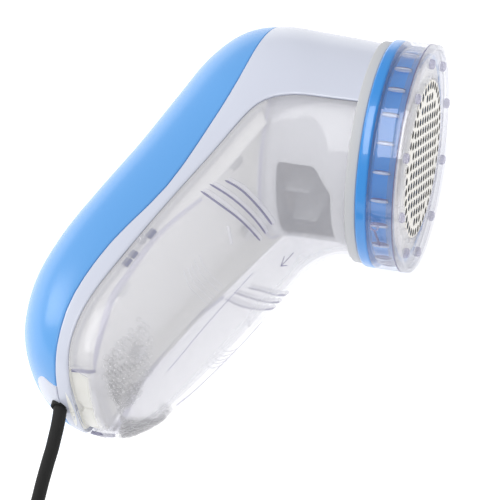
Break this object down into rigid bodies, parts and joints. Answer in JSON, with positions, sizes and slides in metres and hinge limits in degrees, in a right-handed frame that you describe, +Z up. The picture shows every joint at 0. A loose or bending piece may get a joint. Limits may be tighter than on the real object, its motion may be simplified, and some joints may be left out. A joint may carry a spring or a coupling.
{
  "type": "fabric shaver",
  "caption": "Corded fabric shaver with a perforated foil head, height ring, clear lint container in the handle and a coiled mains cord.",
  "frame": {"origin": "on the ground under the middle of the shaver as it lies on its side, without its cord", "axes": "+X points nearly along the head towards the shaving foil, -Y down the handle to the cord, +Z up across the width of the handle"},
  "size_m": [0.1351, 0.2609, 0.0728],
  "materials": {
    "cover_blue": "glossy moulded sky blue",
    "housing_white": "satin lavender white",
    "clear_shell": "clear moulded plastic with a faint violet tint",
    "chamber_white": "satin white",
    "collar_grey": "satin light grey",
    "foil_steel": "perforated stainless foil",
    "blade_steel": "ground steel",
    "carrier_white": "white acetal",
    "spring_steel": "spring wire",
    "fan_grey": "grey moulded plastic",
    "zinc": "zinc plated",
    "magnet": "ferrite",
    "bronze": "sintered bronze",
    "copper": "copper and enamel",
    "carbon": "carbon brush",
    "board_green": "solder resist",
    "part_black": "moulded black",
    "part_navy": "sleeved can",
    "part_tan": "lacquered ceramic",
    "lead_red": "PVC lead",
    "cord_black": "black PVC sheath",
    "tie_grey": "plastic tie",
    "pin_metal": "nickel plated brass"
  },
  "bodies": {
    "housing": {"back_cover": "cover_blue", "main_housing": "housing_white", "chamber_wall": "chamber_white", "head_collar": "collar_grey", "motor_plate": "chamber_white", "motor_screws": "zinc", "motor_can": "zinc", "motor_end_cap": "part_black", "motor_magnets": "magnet", "front_bush": "bronze", "rear_bush": "bronze", "motor_brushes": "carbon", "circuit_board": "board_green", "rectifier_diodes": "part_black", "smoothing_capacitor": "part_navy", "dropper_resistor": "part_tan", "fuse": "carrier_white", "motor_leads": "lead_red", "mains_leads": "lead_red", "switch_leads": "cord_black", "switch_body": "part_black", "switch_bezel": "cover_blue", "cover_screws": "zinc", "cord_clamp": "carrier_white", "clamp_screws": "zinc", "cord_grommet": "cord_black", "power_cord": "cord_black", "cord_coil": "cord_black", "cord_tail": "cord_black", "cord_tie": "tie_grey", "plug_body": "cord_black", "plug_pins": "pin_metal"},
    "rotor": {"motor_shaft": "blade_steel", "armature": "copper", "commutator": "copper", "fan_impeller": "fan_grey", "drive_hub": "carrier_white"},
    "cutter": {"blade_carrier": "carrier_white", "blades": "blade_steel", "blade_spring": "spring_steel"},
    "container": {"lint_container": "clear_shell"},
    "foil_cap": {"foil_ring": "cover_blue", "shaving_foil": "foil_steel"},
    "ring": {"height_ring": "clear_shell"},
    "guard": {"spacer_guard": "clear_shell"},
    "switch": {"switch_knob": "housing_white"}
  },
  "joints": [
    {"name": "rotor_spin", "type": "hinge", "parent": "housing", "child": "rotor", "pos_m": [0.01171, 0.0366, 0.03392], "axis": [0.9973, 0, 0.0732], "continuous": true},
    {"name": "blade_float", "type": "slide", "parent": "rotor", "child": "cutter", "axis": [-0.9973, 0, -0.0732], "range_m": [0, 0.0008], "stiffness_N_per_m": 300, "springref_m": -0.002},
    {"name": "container_pull", "type": "slide", "parent": "housing", "child": "container", "axis": [0.0029, -0.9992, -0.039], "range_m": [0, 0.03]},
    {"name": "foil_ring_twist", "type": "hinge", "parent": "housing", "child": "foil_cap", "pos_m": [0.04362, 0.0366, 0.03626], "axis": [0.9973, 0, 0.0732], "range_deg": [-40, 0]},
    {"name": "ring_turn", "type": "hinge", "parent": "foil_cap", "child": "ring", "pos_m": [0.04661, 0.0366, 0.03648], "axis": [0.9973, 0, 0.0732], "range_deg": [0, 60]},
    {"name": "guard_lift", "type": "slide", "parent": "foil_cap", "child": "guard", "axis": [0.9973, 0, 0.0732], "range_m": [0, 0.0025]},
    {"name": "switch_slide", "type": "slide", "parent": "housing", "child": "switch", "axis": [-0.3709, -0.9265, -0.0636], "range_m": [0, 0.004]}
  ],
  "couplings": [
    {"joint": "guard_lift", "follows": "ring_turn", "m_per_rad": 0.0023}
  ]
}
